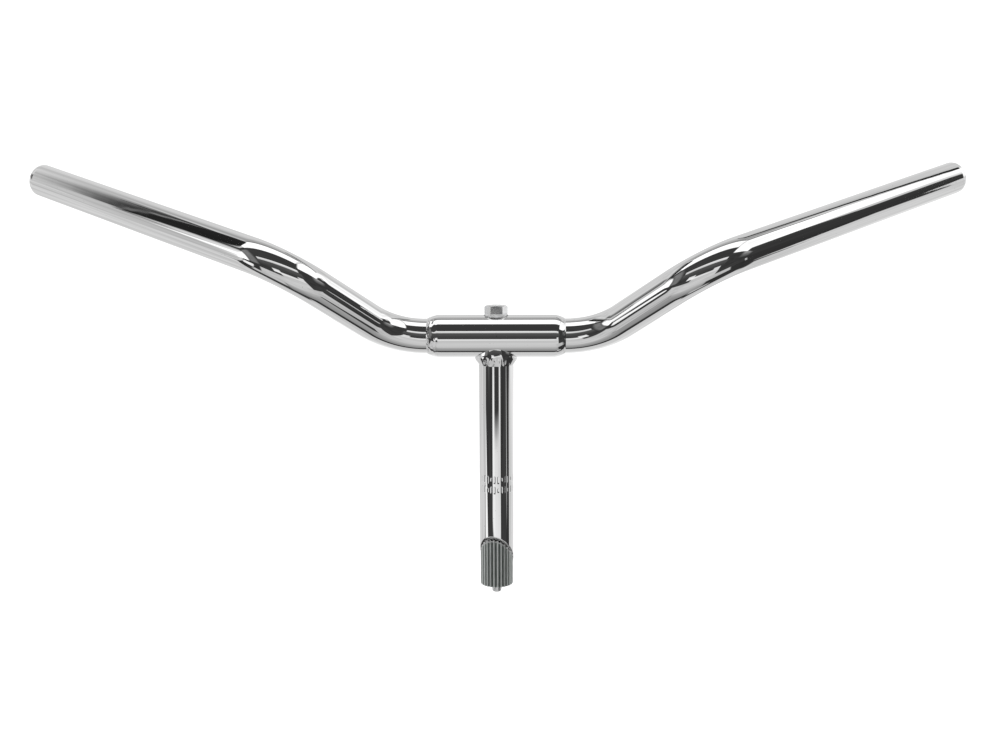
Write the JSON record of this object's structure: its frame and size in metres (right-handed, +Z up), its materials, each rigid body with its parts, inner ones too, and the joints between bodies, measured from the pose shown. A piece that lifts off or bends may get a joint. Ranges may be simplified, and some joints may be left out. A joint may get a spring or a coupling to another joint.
{
  "type": "moped handlebar",
  "caption": "Chromed bent tube handlebar with a centre sleeve, a quill stem and a bolt-driven expander wedge for clamping inside a steering tube.",
  "frame": {"origin": "on the stem axis at the insertion mark, 95 mm below the bar's centreline", "axes": "+Z up the stem axis; +X along the bar to the grip on the right as seen from ahead; +Y back, towards the rider"},
  "size_m": [0.6466, 0.1437, 0.281],
  "materials": {
    "chromed_tube": "mirror-bright chrome plate",
    "chromed_sleeve": "mirror-bright chrome plate",
    "chromed_braze": "chrome plate over uneven braze",
    "chromed_stem": "mirror-bright chrome plate",
    "chromed_weld": "chrome plate over a dressed weld",
    "plated_steel": "bright zinc plate",
    "plated_bolt": "bright zinc plate",
    "bare_wedge": "dull grey bare steel with rolled flutes"
  },
  "bodies": {
    "bar_and_stem": {"handlebar_tube": "chromed_tube", "centre_sleeve": "chromed_sleeve", "braze_bead_left": "chromed_braze", "braze_bead_right": "chromed_braze", "stem_tube": "chromed_stem", "stem_weld": "chromed_weld", "spring_washer": "plated_steel"},
    "bolt": {"stem_bolt": "plated_bolt"},
    "wedge": {"expander_wedge": "bare_wedge"}
  },
  "joints": [
    {"name": "stem_bolt_turn", "type": "hinge", "parent": "bar_and_stem", "child": "bolt", "pos_m": [0, 0, 0.1093], "axis": [0, 0, 1], "range_deg": [0, 4320]},
    {"name": "wedge_drop", "type": "slide", "parent": "bar_and_stem", "child": "wedge", "axis": [0, 0, -1], "range_m": [0, 0.015]}
  ],
  "couplings": [
    {"joint": "stem_bolt_turn", "follows": "wedge_drop", "rad_per_m": 5026.5}
  ]
}
